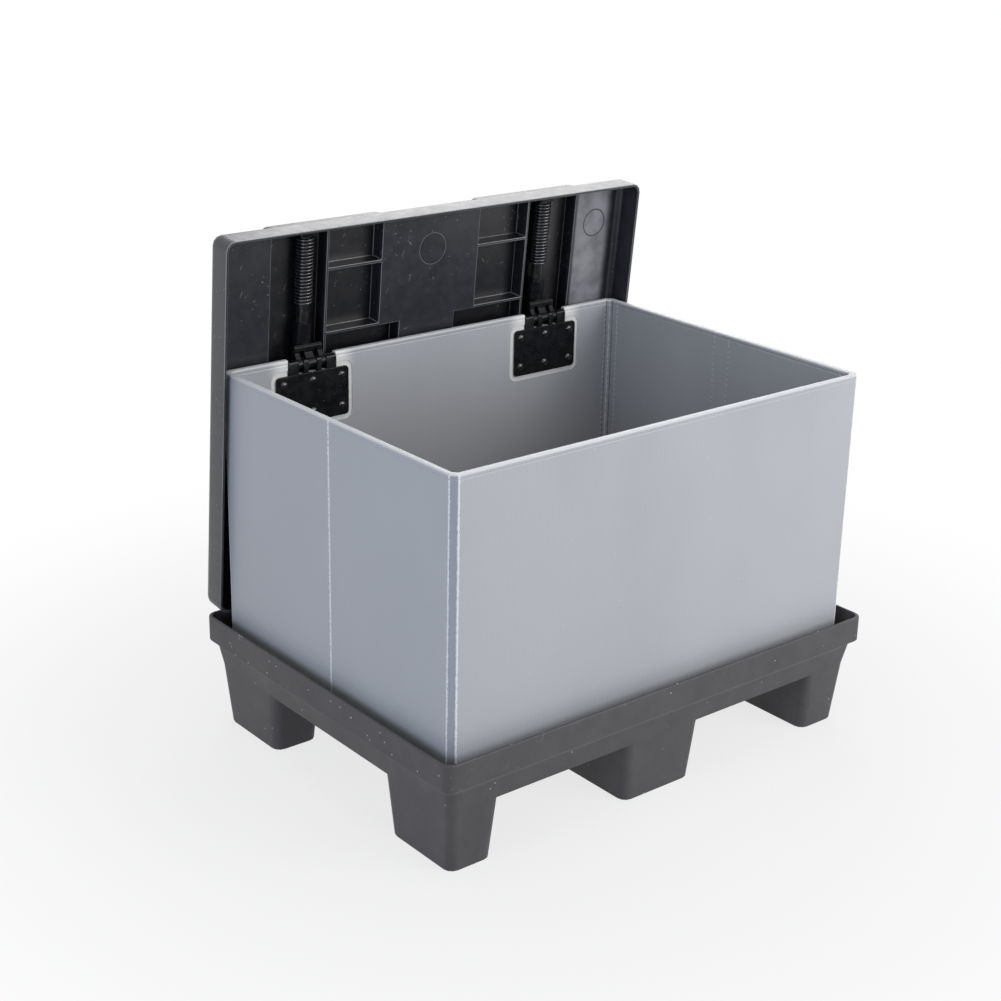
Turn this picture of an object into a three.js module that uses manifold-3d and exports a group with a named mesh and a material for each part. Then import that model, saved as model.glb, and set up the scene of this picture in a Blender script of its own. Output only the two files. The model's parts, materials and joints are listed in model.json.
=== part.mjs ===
// Folding pallet box, in millimetres: +Z up, +X along the long front side, +Y to the back.
// A moulded half-size pallet with six feet carries a welded twin-wall sleeve in its tray. The moulded lid
// slides on two guide rods and turns on two knuckle hinges that are riveted to the sleeve's back wall.
// It is shown open: the lid hangs behind the sleeve with its front edge up.
import * as THREE from "three";
import { mergeVertices } from "three/addons/utils/BufferGeometryUtils.js";
import Module from "manifold-3d";

// Clearances
const seatGap = 0.1; // between faces that rest on each other
const guideGap = 0.3; // between pieces of the turned lid that are screwed or pushed together
const knuckleGap = 0.4; // beside each hinge knuckle
const pinGap = 0.2; // round a hinge pin
const rodGap = 0.4; // round a guide rod
const sleeveFit = 3; // from the sleeve's inside to the raised load floor
const lugFit = 1; // from the sleeve's outside to the locating lugs

// Pallet
const palletLength = 800;
const palletWidth = 600;
const palletHeight = 175;
const palletWall = 4;
const palletRib = 4;
const palletRadius = 14;
const rimBand = 40; // height of the upright band round the rim
const rimStep = 4; // the body steps in below the band
const coveInset = 8;
const coveHeight = 6;
const rimEdge = 1.2; // rounding of the rim's top edge
const deckHeight = 95; // room for forks under the deck
const deckInset = 15; // the deck's lower edge lies this far in from the rim
const trayDepth = 44; // rim's top edge down to the groove that the sleeve stands in
const loadFloorRise = 6; // the load floor stands above that groove
const footInset = 23; // the feet's outer faces at the ground, in from the rim
const cornerFootLength = 72;
const middleFootLength = 130;
const footWidth = 133;
const footDraft = 7; // each inner face of a foot leans this far over the height of a foot
const lugThickness = 5;
const lugHeight = 27;
const lugSlope = 9;

// Sleeve
const sleeveLength = 751;
const sleeveWidth = 546;
const sleeveTop = 557.6;
const sleeveWall = 10;
const cornerStrip = 12.6; // width of the strip between the two creases of a corner
const innerCornerLeg = 6;
const creaseHalfWidth = 2.2; // fold down the middle of each short side
const creaseDepth = 1.4;
const topRounding = 2.5;
const pressedLineDrop = 7; // a line pressed into the wall below its sealed top edge
const pressedLineHalfWidth = 1.3;
const pressedLineDepth = 0.7;
const notchDepth = 24;
const pressedDepth = 1.2; // pressed field on the inside, round each hinge plate
const pressedMargin = 8;

// Hinge: fixed plate on the sleeve, pin and knuckles
const hingeSpacing = 451; // from the middle of one hinge to the middle of the other
const hingeNotch = 84; // width of the sleeve's notch that the knuckles fill
const pinRise = 13; // pin's axis above the notch's floor
const pinInset = 4; // pin's axis in from the sleeve's outer face
const knuckleRadius = 7.5;
const knuckleCorner = 4; // rounding of the fixed knuckles
const pinRadius = 3;
const middleFinger = 15; // widths of the knuckles, from the middle of the hinge outwards
const innerKnuckle = 8;
const outerFinger = 9;
const plateLength = 127;
const plateHeight = 76;
const plateThickness = 3.4;
const plateRadius = 6;
const backPlateThickness = 3;
const rivetSpan = 102; // first to last of a row of three
const rivetPitch = 48; // one row to the other
const rivetTopMargin = 13;
const rivetHeadRadius = 6.2;
const rivetHeadHeight = 2.6;
const rivetNubRadius = 1.8;
const rivetNubHeight = 1.6;
const rivetRadius = 2.5;
const rivetTailRadius = 4.6;
const rivetTailHeight = 1;
const rivetSides = 8;

// Lid, measured in its own frame: length along X, depth from its rear edge, height from its skirt's edge
const lidLength = 776;
const lidDepth = 580;
const lidHeight = 46;
const lidWall = 4;
const lidRadius = 15;
const lidEdgeRounding = 13;
const lidFillet = 9;
const bossHeight = 24; // the guide bosses stand this far above the lid's top
const bossRounding = 8;
const bossDraft = 3;
const bossEnd = 4; // bosses end short of the lid's edges
const panelHalfLength = 92; // the flat middle panel between the pockets
const pocketLength = 96;
const pocketRibPitch = 100;
const pocketRib = 4;
const firstPocketRib = 102; // from the rear edge
const sideRecess = 39; // the rear bays of the pockets reach this far under the middle panel
const sideRecessDepth = 399;
const channelLength = 96;

// How the lid is held
const openAngle = 84.7; // degrees that the lid turns to shut
const lidTravel = 355.6; // the lid slides this far along its rods as it shuts
const pinHeight = 26.1; // pin's axis above the lid's skirt edge
const rearOverhang = 13; // pin's axis from the lid's rear edge when the lid is shut

// Guide rods, springs, sliders and rod blocks
const rodRadius = 9.5;
const rodHeight = 51; // rod's axis above the lid's skirt edge
const springRadius = 12; // to the middle of the wire
const wireRadius = 1.3;
const springLength = 105;
const springPitch = 5;
const coilSteps = 7;
const wireSides = 4;
const bushWall = 4.2;
const bushLength = 42;
const saddleStart = 14; // the slider's saddle begins this far from the pin
const saddleLength = 12;
const saddleLow = 5;
const saddleHigh = 12;
const saddleBevel = 3;
const blockLength = 12;
const blockHalfWidth = 14.5;
const flangeReach = 28;
const flangeThickness = 6.5;
const blockLow = 38;
const screwOffset = 21.5;
const screwRadius = 2.5;
const screwHeadRadius = 5;
const screwHeadHeight = 3;
const screwGrip = 3; // depth of the screw in the boss's floor
const screwSides = 8;

// Places that follow from the sizes above
const grooveHeight = palletHeight - trayDepth;
const loadFloor = grooveHeight + loadFloorRise;
const sleeveBottom = grooveHeight + seatGap;
const innerLength = sleeveLength - 2 * sleeveWall;
const innerWidth = sleeveWidth - 2 * sleeveWall;
const cornerLeg = cornerStrip / Math.SQRT2;
const notchFloor = sleeveTop - notchDepth;
const pinY = sleeveWidth / 2 - pinInset;
const pinZ = notchFloor + pinRise;
const wallInside = sleeveWidth / 2 - sleeveWall + pressedDepth;
const plateBack = wallInside - seatGap;
const plateFront = plateBack - plateThickness;
const backPlateFront = sleeveWidth / 2 + seatGap;
const backPlateBack = backPlateFront + backPlateThickness;
const boreSides = 10;
const rodSides = 16;
const lidPanel = lidHeight - lidWall;
const bossTop = lidHeight + bossHeight;
const bossFloor = bossTop - lidWall;
const channelStart = panelHalfLength + pocketLength + pocketRib;
const rodX = hingeSpacing / 2;
const bossInside = bossEnd + bossDraft + lidWall;
const frontBlock = lidDepth - bossInside - guideGap - blockLength;

const wasm = await Module();
wasm.setup();

// A three.js geometry as a solid that can be joined and cut
function solid(geometry) {
  const bare = geometry.clone();
  bare.deleteAttribute("normal");
  bare.deleteAttribute("uv");
  const merged = mergeVertices(bare, 1e-4);
  return new wasm.Manifold(
    new wasm.Mesh({
      numProp: 3,
      vertProperties: new Float32Array(merged.attributes.position.array),
      triVerts: new Uint32Array(merged.index.array),
    }),
  );
}

function geometryOf(body) {
  const mesh = body.getMesh();
  const geometry = new THREE.BufferGeometry();
  geometry.setAttribute("position", new THREE.BufferAttribute(new Float32Array(mesh.vertProperties), 3));
  geometry.setIndex(new THREE.BufferAttribute(new Uint32Array(mesh.triVerts), 1));
  const faceted = geometry.toNonIndexed();
  faceted.computeVertexNormals();
  return faceted;
}

const joined = (bodies) => bodies.reduce((all, body) => all.add(body));

function box(x0, x1, y0, y1, z0, z1) {
  const geometry = new THREE.BoxGeometry(x1 - x0, y1 - y0, z1 - z0);
  geometry.translate((x0 + x1) / 2, (y0 + y1) / 2, (z0 + z1) / 2);
  return solid(geometry);
}

// Outline of a rectangle with round corners, anticlockwise
function roundedOutline(length, width, radius, centreX = 0, centreY = 0, steps = 3) {
  const points = [];
  const corners = [[1, -1, -90], [1, 1, 0], [-1, 1, 90], [-1, -1, 180]];
  for (const [sx, sy, start] of corners) {
    for (let i = 0; i <= steps; i += 1) {
      const angle = THREE.MathUtils.degToRad(start + (90 * i) / steps);
      points.push(new THREE.Vector2(
        centreX + sx * (length / 2 - radius) + radius * Math.cos(angle),
        centreY + sy * (width / 2 - radius) + radius * Math.sin(angle),
      ));
    }
  }
  return points;
}

// A closed solid through outlines of equal point count, from the lowest to the highest
function loft(sections) {
  const count = sections[0].points.length;
  const positions = sections.flatMap(({ points, height }) => points.flatMap((p) => [p.x, p.y, height]));
  const index = [];
  for (let level = 0; level < sections.length - 1; level += 1) {
    for (let i = 0; i < count; i += 1) {
      const a = level * count + i;
      const b = level * count + ((i + 1) % count);
      index.push(a, b, b + count, a, b + count, a + count);
    }
  }
  const top = (sections.length - 1) * count;
  for (const [a, b, c] of THREE.ShapeUtils.triangulateShape(sections[0].points, [])) {
    index.push(a, c, b);
  }
  for (const [a, b, c] of THREE.ShapeUtils.triangulateShape(sections.at(-1).points, [])) {
    index.push(top + a, top + b, top + c);
  }
  const geometry = new THREE.BufferGeometry();
  geometry.setAttribute("position", new THREE.Float32BufferAttribute(positions, 3));
  geometry.setIndex(index);
  return solid(geometry);
}

function extrude(points, depth) {
  return new THREE.ExtrudeGeometry(new THREE.Shape(points), { depth, bevelEnabled: false });
}

// A profile in the YZ plane, extruded along X from one place to another
function extrudeAlongX(points, from, to) {
  const geometry = extrude(points, to - from);
  const toX = new THREE.Matrix4().makeBasis(
    new THREE.Vector3(0, 1, 0),
    new THREE.Vector3(0, 0, 1),
    new THREE.Vector3(1, 0, 0),
  );
  geometry.applyMatrix4(toX).translate(from, 0, 0);
  return solid(geometry);
}

// A profile in the XZ plane, extruded along Y
function extrudeAlongY(points, from, to) {
  const geometry = extrude(points, to - from);
  geometry.rotateX(Math.PI / 2).translate(0, to, 0);
  return solid(geometry);
}

function cylinder(radius, length, sides, axis, centre) {
  const geometry = new THREE.CylinderGeometry(radius, radius, length, sides);
  if (axis === "x") geometry.rotateZ(Math.PI / 2);
  if (axis === "z") geometry.rotateX(Math.PI / 2);
  geometry.translate(...centre);
  return solid(geometry);
}

const points2 = (pairs) => pairs.map(([x, y]) => new THREE.Vector2(x, y));

// Splits a stretch into equal cells with ribs between them
function cells(from, to, count, rib) {
  const width = (to - from - (count - 1) * rib) / count;
  return Array.from({ length: count }, (_, i) => {
    const start = from + i * (width + rib);
    return [start, start + width];
  });
}

// Materials
function plastic(color, roughness) {
  return new THREE.MeshStandardMaterial({ color, roughness, metalness: 0 });
}

function steel(color, roughness) {
  return new THREE.MeshStandardMaterial({ color, roughness, metalness: 1 });
}

function part(name, geometry, material) {
  const mesh = new THREE.Mesh(geometry, material);
  mesh.name = name;
  return mesh;
}

// Pallet: rim and tray
function rimOutline(inset) {
  return roundedOutline(palletLength - 2 * inset, palletWidth - 2 * inset, palletRadius);
}

function palletBody() {
  const bandFoot = palletHeight - rimBand;
  return loft([
    { points: rimOutline(deckInset), height: deckHeight },
    { points: rimOutline(coveInset + 1), height: bandFoot - coveHeight },
    { points: rimOutline(coveInset - 1), height: bandFoot - coveHeight / 2 },
    { points: rimOutline(rimStep), height: bandFoot },
    { points: rimOutline(0), height: bandFoot },
    { points: rimOutline(0), height: palletHeight - rimEdge },
    { points: rimOutline(rimEdge), height: palletHeight },
  ]);
}

function trayHollow() {
  const bandFoot = palletHeight - rimBand;
  return loft([
    { points: rimOutline(coveInset + palletWall), height: grooveHeight },
    { points: rimOutline(rimStep + palletWall), height: bandFoot + 1 },
    { points: rimOutline(palletWall), height: bandFoot + coveHeight },
    { points: rimOutline(palletWall), height: palletHeight + 1 },
  ]);
}

function loadPlatform() {
  const length = innerLength - 2 * sleeveFit;
  const width = innerWidth - 2 * sleeveFit;
  return loft([
    { points: roundedOutline(length, width, innerCornerLeg), height: grooveHeight - 1 },
    { points: roundedOutline(length, width, innerCornerLeg), height: loadFloor - rimEdge },
    { points: roundedOutline(length - 2 * rimEdge, width - 2 * rimEdge, innerCornerLeg), height: loadFloor },
  ]);
}

// Lugs on the rim's inner face that keep the sleeve in the middle of the tray
function locatingLugs() {
  const lugs = [];
  const bandFoot = palletHeight - rimBand;
  const profile = (rim, face) => points2([
    [rim - coveInset - palletWall / 2, grooveHeight - 1],
    [face, grooveHeight - 1],
    [face, grooveHeight + lugHeight - lugSlope],
    [face + lugSlope, grooveHeight + lugHeight],
    [rim - palletWall / 2, grooveHeight + lugHeight],
    [rim - palletWall / 2, bandFoot + coveHeight],
    [rim - rimStep - palletWall / 2, bandFoot],
  ]);
  const lug = (rim, face) => {
    const geometry = extrude(profile(rim, face).reverse(), lugThickness);
    geometry.rotateX(Math.PI / 2).translate(0, lugThickness / 2, 0);
    return geometry;
  };
  for (const side of [0, 1]) {
    const end = lug(palletLength / 2, sleeveLength / 2 + lugFit).rotateZ(side * Math.PI);
    for (const y of [-1, 1]) lugs.push(solid(end.clone().translate(0, y * (palletWidth / 4), 0)));
    const long = lug(palletWidth / 2, sleeveWidth / 2 + lugFit).rotateZ((side - 0.5) * Math.PI);
    for (const x of [-1, 0, 1]) lugs.push(solid(long.clone().translate(x * (palletLength / 3), 0, 0)));
  }
  return joined(lugs);
}

// Feet: each range is the foot's span at the ground, and it widens upwards
const outerX = palletLength / 2 - footInset;
const outerY = palletWidth / 2 - footInset;
const footColumns = [
  { ground: [-outerX, cornerFootLength - outerX], cellCount: 1, outside: -1 },
  { ground: [-middleFootLength / 2, middleFootLength / 2], cellCount: 2, outside: 0 },
  { ground: [outerX - cornerFootLength, outerX], cellCount: 1, outside: 1 },
];
const footRows = [
  { ground: [-outerY, footWidth - outerY], cellCount: 2, outside: -1 },
  { ground: [outerY - footWidth, outerY], cellCount: 2, outside: 1 },
];

// The foot's span at deck height: its outer face leans out to the deck's lower edge
function spanAtDeck({ ground, outside }) {
  const outerDraft = footInset - deckInset;
  return [
    ground[0] - (outside < 0 ? outerDraft : footDraft),
    ground[1] + (outside > 0 ? outerDraft : footDraft),
  ];
}

function spanOutline([x0, x1], [y0, y1], radius) {
  return roundedOutline(x1 - x0, y1 - y0, radius, (x0 + x1) / 2, (y0 + y1) / 2);
}

function foot(column, row) {
  const bottom = spanOutline(column.ground, row.ground, palletRadius);
  const top = spanOutline(spanAtDeck(column), spanAtDeck(row), palletRadius);
  return loft([
    { points: bottom, height: 0 },
    { points: top, height: deckHeight },
    { points: top, height: deckHeight + palletRib },
  ]);
}

// Cells that hollow the pallet from below: deep ones inside the feet, shallow ones under the deck
function cellTop([x0, x1], [y0, y1]) {
  const reachX = Math.max(Math.abs(x0), Math.abs(x1)) + palletWall;
  const reachY = Math.max(Math.abs(y0), Math.abs(y1)) + palletWall;
  const underPlatform = reachX < innerLength / 2 - sleeveFit && reachY < innerWidth / 2 - sleeveFit;
  return (underPlatform ? loadFloor : grooveHeight) - palletWall;
}

function walled([a, b]) {
  return [a + palletWall, b - palletWall];
}

// A cell with cut corners, so that its wall stays whole inside the foot's round corners
function cellOutline([x0, x1], [y0, y1]) {
  return roundedOutline(x1 - x0, y1 - y0, palletRadius / 2, (x0 + x1) / 2, (y0 + y1) / 2, 1);
}

function footCells(column, row) {
  const columnsLow = cells(...walled(column.ground), column.cellCount, palletRib);
  const columnsHigh = cells(...walled(spanAtDeck(column)), column.cellCount, palletRib);
  const rowsLow = cells(...walled(row.ground), row.cellCount, palletRib);
  const rowsHigh = cells(...walled(spanAtDeck(row)), row.cellCount, palletRib);
  return columnsLow.flatMap((lowX, i) => rowsLow.map((lowY, j) => loft([
    { points: cellOutline(lowX, lowY), height: -1 },
    { points: cellOutline(lowX, lowY), height: 0 },
    { points: cellOutline(columnsHigh[i], rowsHigh[j]), height: deckHeight },
    { points: cellOutline(columnsHigh[i], rowsHigh[j]), height: cellTop(columnsHigh[i], rowsHigh[j]) },
  ])));
}

function deckCells(columns, rows) {
  return columns.flatMap((x) => rows.map((y) => box(...x, ...y, deckHeight - 1, cellTop(x, y))));
}

function bayCount(span) {
  return Math.ceil((span[1] - span[0]) / (palletLength / 10 - palletRib));
}

function bays(span) {
  return cells(...span, bayCount(span), palletRib);
}

function undersideCells() {
  const columnSpans = footColumns.map(spanAtDeck);
  const rowSpans = footRows.map(spanAtDeck);
  const betweenColumns = [[columnSpans[0][1], columnSpans[1][0]], [columnSpans[1][1], columnSpans[2][0]]];
  const betweenRows = [rowSpans[0][1], rowSpans[1][0]];
  const columnsBetween = betweenColumns.flatMap(bays);
  const columnsOverFeet = footColumns.flatMap(
    (column, i) => cells(...walled(columnSpans[i]), column.cellCount, palletRib),
  );
  const rowsBetween = bays(betweenRows);
  const rowsOverFeet = footRows.flatMap((row, i) => cells(...walled(rowSpans[i]), row.cellCount, palletRib));
  return joined([
    ...footColumns.flatMap((column) => footRows.flatMap((row) => footCells(column, row))),
    ...deckCells(columnsBetween, [...rowsBetween, ...rowsOverFeet]),
    ...deckCells(columnsOverFeet, rowsBetween),
  ]);
}

function makePallet() {
  const feet = footColumns.flatMap((column) => footRows.map((row) => foot(column, row)));
  const body = joined([palletBody().subtract(trayHollow()), loadPlatform(), locatingLugs(), ...feet]);
  return part("pallet", geometryOf(body.subtract(undersideCells())), plastic(0x58565a, 0.62));
}

// Sleeve: an outline with cut corners and a fold in the middle of each short side
function sleeveOutline(length, width, leg, inset, foldDepth) {
  const x = length / 2 - inset;
  const y = width / 2 - inset;
  const fold = [[x, -creaseHalfWidth], [x - foldDepth, 0], [x, creaseHalfWidth]];
  const half = [[x - leg, -y], [x, leg - y], ...fold, [x, y - leg], [x - leg, y]];
  const otherHalf = half.map(([px, py]) => [-px, -py]);
  return points2([...half, ...otherHalf]);
}

// Heights and insets up the wall: plain, the pressed line, plain, the rounded top edge
function wallSections(length, width, leg, side, foldDepth, bottom) {
  const line = sleeveTop - pressedLineDrop;
  const levels = [
    [bottom, 0],
    [line - pressedLineHalfWidth, 0],
    [line, pressedLineDepth],
    [line + pressedLineHalfWidth, 0],
    [sleeveTop - topRounding, 0],
    [sleeveTop - topRounding / 3, topRounding / 3],
    [sleeveTop, topRounding],
  ];
  return levels.map(([height, inset]) => ({
    points: sleeveOutline(length, width, leg, side * inset, foldDepth),
    height,
  }));
}

function hingeAcross(make) {
  return joined([-1, 1].map((side) => make(side * rodX)));
}

// Rivet places of one hinge, from its middle line and the plate's top edge
function rivetPlaces() {
  const top = notchFloor - rivetTopMargin;
  return [top, top - rivetPitch].flatMap((z) => [-1, 0, 1].map((i) => [i * (rivetSpan / 2), z]));
}

function rivetHoles(middle, from, to) {
  return joined(rivetPlaces().map(([x, z]) => cylinder(
    rivetRadius + seatGap, to - from, rivetSides, "y", [middle + x, (from + to) / 2, z],
  )));
}

function pressedField(middle) {
  const length = plateLength + 2 * pressedMargin;
  const height = plateHeight + 2 * pressedMargin;
  const centreZ = notchFloor - plateHeight / 2;
  const outline = roundedOutline(length, height, plateRadius + pressedMargin, middle, centreZ);
  return extrudeAlongY(outline, sleeveWidth / 2 - sleeveWall - 1, wallInside);
}

function makeSleeve() {
  const outer = loft(wallSections(sleeveLength, sleeveWidth, cornerLeg, 1, creaseDepth, sleeveBottom));
  const innerSections = wallSections(innerLength, innerWidth, innerCornerLeg, -1, -creaseDepth / 2, sleeveBottom);
  const below = { points: innerSections[0].points, height: sleeveBottom - 1 };
  const last = innerSections.at(-1);
  const above = { points: last.points, height: last.height + 1 };
  const hollow = loft([below, ...innerSections, above]);
  const wallFrom = sleeveWidth / 2 - 2 * sleeveWall;
  const wallTo = sleeveWidth / 2 + sleeveWall;
  const notches = hingeAcross((x) => box(
    x - hingeNotch / 2, x + hingeNotch / 2, wallFrom, wallTo, notchFloor, sleeveTop + 1,
  ));
  const holes = hingeAcross((x) => rivetHoles(x, wallFrom, wallTo));
  const fields = hingeAcross(pressedField);
  const body = outer.subtract(hollow).subtract(notches).subtract(fields).subtract(holes);
  return part("sleeve", geometryOf(body), plastic(0xb8bac0, 0.5));
}

// Hinge plate on the sleeve's inside, with the fixed knuckles that fill the notch
function fixedKnuckle(from, to) {
  const bottom = notchFloor + seatGap;
  const front = plateFront + seatGap;
  const back = pinY + knuckleRadius;
  const top = pinZ + knuckleRadius;
  const height = top - bottom + plateThickness;
  const outline = roundedOutline(
    back - front, height, knuckleCorner, (front + back) / 2, top - height / 2, 2,
  );
  const behind = box(from - 1, to + 1, plateBack, back + 1, bottom - 2 * plateThickness, bottom);
  return extrudeAlongX(outline, from, to).subtract(behind);
}

function fixedKnuckles() {
  const inner = middleFinger / 2;
  const outer = inner + innerKnuckle + outerFinger;
  const end = hingeNotch / 2 - guideGap;
  return joined([
    fixedKnuckle(-end, -outer),
    fixedKnuckle(-inner - innerKnuckle, -inner),
    fixedKnuckle(inner, inner + innerKnuckle),
    fixedKnuckle(outer, end),
  ]);
}

function plateSlab(front, back, bottom, top) {
  const outline = roundedOutline(plateLength, top - bottom, plateRadius, 0, (top + bottom) / 2);
  return extrudeAlongY(outline, front, back);
}

function pinBore() {
  return cylinder(pinRadius + pinGap, 2 * hingeNotch, boreSides, "x", [0, pinY, pinZ]);
}

function makeHingePlate(side) {
  const slab = plateSlab(plateFront, plateBack, notchFloor - plateHeight, notchFloor);
  const body = slab
    .add(fixedKnuckles())
    .subtract(pinBore())
    .subtract(rivetHoles(0, plateFront - 1, plateBack + 1));
  return part(`hinge_plate_${side}`, geometryOf(body), plastic(0x17181b, 0.42));
}

function makeBackPlate(side) {
  const slab = plateSlab(backPlateFront, backPlateBack, notchFloor - plateHeight, notchFloor - 1);
  const body = slab.subtract(rivetHoles(0, backPlateFront - 1, backPlateBack + 1));
  return part(`backing_plate_${side}`, geometryOf(body), plastic(0x17181b, 0.5));
}

function makePin(side) {
  const pin = new THREE.CylinderGeometry(pinRadius, pinRadius, hingeNotch - 1, boreSides);
  pin.rotateZ(Math.PI / 2).translate(0, pinY, pinZ);
  return part(`hinge_pin_${side}`, pin, steel(0x8d8f93, 0.35));
}

// Rivet: domed head with a broken-off mandrel in its middle, shank, and a flat tail outside
function rivetGeometry() {
  const grip = backPlateBack - plateFront + seatGap;
  const profile = points2([
    [0, -rivetHeadHeight - rivetNubHeight],
    [rivetNubRadius, -rivetHeadHeight - rivetNubHeight],
    [rivetNubRadius, -rivetHeadHeight],
    [rivetHeadRadius * 0.75, -rivetHeadHeight * 0.75],
    [rivetHeadRadius, -seatGap],
    [rivetRadius, -seatGap],
    [rivetRadius, grip],
    [rivetTailRadius, grip],
    [0, grip + rivetTailHeight],
  ]);
  return new THREE.LatheGeometry(profile, rivetSides);
}

function makeRivets(side) {
  return rivetPlaces().map(([x, z], i) => {
    const rivet = part(`rivet_${side}_${i + 1}`, rivetGeometry(), plastic(0x101114, 0.3));
    rivet.position.set(x, plateFront, z);
    return rivet;
  });
}

function makeHinge(side, x) {
  const hinge = new THREE.Group();
  hinge.position.x = x;
  hinge.add(makeHingePlate(side), makeBackPlate(side), makePin(side), ...makeRivets(side));
  return hinge;
}

// Slider, in the shut lid's directions: its pin lies at the origin, the rod runs along -Y
function sliderLug() {
  const start = -saddleStart;
  const end = start - saddleLength;
  const barrel = Array.from({ length: rodSides }, (_, i) => {
    const turn = (i * 2 * Math.PI) / rodSides;
    return [knuckleRadius * Math.cos(turn), knuckleRadius * Math.sin(turn)];
  });
  const halfWidth = middleFinger / 2 + innerKnuckle + outerFinger - knuckleGap;
  const arm = points2([
    [0, -knuckleRadius * 0.9],
    [knuckleRadius * 0.35, knuckleRadius * 0.92],
    [start, saddleHigh],
    [end, saddleHigh],
    [end, saddleLow + saddleBevel],
    [end + saddleBevel, saddleLow],
    [start, saddleLow],
  ]);
  return extrudeAlongX(points2(barrel), -halfWidth, halfWidth)
    .add(extrudeAlongX(arm.reverse(), -halfWidth, halfWidth));
}

// Slots between the fingers, with round ends, for the fixed knuckles
function fingerSlots() {
  const width = innerKnuckle + 2 * knuckleGap;
  const middle = (middleFinger + innerKnuckle) / 2;
  const reach = 2 * knuckleRadius;
  return joined([-1, 1].map((side) => {
    const x = side * middle;
    const straight = box(x - width / 2, x + width / 2, -saddleStart, reach, -reach, reach);
    return straight.add(cylinder(width / 2, 2 * reach, boreSides, "z", [x, -saddleStart, 0]));
  }));
}

function makeSlider(side) {
  const rodZ = rodHeight - pinHeight;
  const bushMiddle = [0, -saddleStart - bushLength / 2, rodZ];
  const bore = cylinder(rodRadius + rodGap, 2 * bushLength, rodSides, "y", bushMiddle);
  const bush = cylinder(rodRadius + rodGap + bushWall, bushLength, rodSides, "y", bushMiddle);
  const pinHole = cylinder(pinRadius + pinGap, hingeNotch, boreSides, "x", [0, 0, 0]);
  const body = sliderLug().subtract(fingerSlots()).add(bush).subtract(bore).subtract(pinHole);
  return part(`slider_${side}`, geometryOf(body), plastic(0x202125, 0.4));
}

// Lid, shut and seen from above: its rear edge lies on the X axis and its front edge towards -Y
function lidOutline(inset) {
  const radius = Math.max(lidRadius - inset, 2);
  return roundedOutline(lidLength - 2 * inset, lidDepth - 2 * inset, radius, 0, -lidDepth / 2);
}

function lidShell() {
  const quarter = (radius, base, top) => [0, 30, 60, 90].map((degrees) => {
    const angle = THREE.MathUtils.degToRad(degrees);
    return {
      points: lidOutline(base + radius * (1 - Math.cos(angle))),
      height: top - radius * (1 - Math.sin(angle)),
    };
  });
  const outer = loft([{ points: lidOutline(0), height: 0 }, ...quarter(lidEdgeRounding, 0, lidHeight)]);
  const inner = loft([{ points: lidOutline(lidWall), height: -1 }, ...quarter(lidFillet, lidWall, lidPanel)]);
  return outer.subtract(inner);
}

// A raised boss on the lid's top between two places along X, over a stretch of its depth
function boss(x0, x1, from, to) {
  const at = (inset, height) => ({
    points: roundedOutline(
      x1 - x0 - 2 * inset, to - from - 2 * inset, bossRounding, (x0 + x1) / 2, -(from + to) / 2,
    ),
    height,
  });
  return loft([
    at(0, lidPanel + 0.5),
    at(bossDraft, bossTop - bossRounding),
    at(bossDraft + bossRounding * 0.3, bossTop - bossRounding * 0.3),
    at(bossDraft + bossRounding, bossTop),
  ]);
}

function mirrored(x0, x1) {
  return [[x0, x1], [-x1, -x0]];
}

function bosses() {
  const reach = channelStart + channelLength + lidWall + bossDraft;
  const start = panelHalfLength - lidWall - bossDraft;
  const recessStart = start - sideRecess;
  return joined([
    ...mirrored(start, reach).map(([a, b]) => boss(a, b, bossEnd, lidDepth - bossEnd)),
    ...mirrored(recessStart, reach).map(([a, b]) => boss(a, b, bossEnd, sideRecessDepth + lidWall + bossDraft)),
  ]);
}

// Hollows on the lid's underside, inside the bosses
function bossHollows() {
  const deep = (x0, x1, from, to) => box(x0, x1, -to, -from, lidPanel - lidFillet, bossFloor);
  const rearWall = bossInside;
  const frontWall = lidDepth - bossInside;
  const ribs = [];
  for (let at = firstPocketRib; at < frontWall; at += pocketRibPitch) ribs.push(at);
  const pocketEnd = panelHalfLength + pocketLength;
  const bayStarts = [rearWall, ...ribs.map((at) => at + pocketRib / 2)];
  const bayEnds = [...ribs.map((at) => at - pocketRib / 2), frontWall];
  const hollows = mirrored(channelStart, channelStart + channelLength)
    .map(([a, b]) => deep(a, b, rearWall, frontWall));
  bayStarts.forEach((from, i) => {
    const wide = bayEnds[i] < sideRecessDepth + pocketRib;
    const start = wide ? panelHalfLength - sideRecess : panelHalfLength;
    for (const [a, b] of mirrored(start, pocketEnd)) hollows.push(deep(a, b, from, bayEnds[i]));
  });
  return joined(hollows);
}

const blockStarts = { rear: bossInside + guideGap, front: frontBlock };

function screwPlaces(end) {
  const middle = blockStarts[end] + blockLength / 2;
  return [-1, 1].map((side) => [side * screwOffset, -middle]);
}

function screwHoles(x, end, from, to, radius) {
  return joined(screwPlaces(end).map(([dx, y]) => cylinder(
    radius, to - from, screwSides, "z", [x + dx, y, (from + to) / 2],
  )));
}

function makeLid() {
  const holes = joined(["rear", "front"].map((end) => hingeAcross(
    (x) => screwHoles(x, end, bossFloor - 1, bossFloor + screwGrip + guideGap, screwRadius + guideGap),
  )));
  const shell = lidShell().add(bosses()).subtract(bossHollows()).subtract(holes);
  return part("lid", geometryOf(shell), plastic(0x35353a, 0.5));
}

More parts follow.
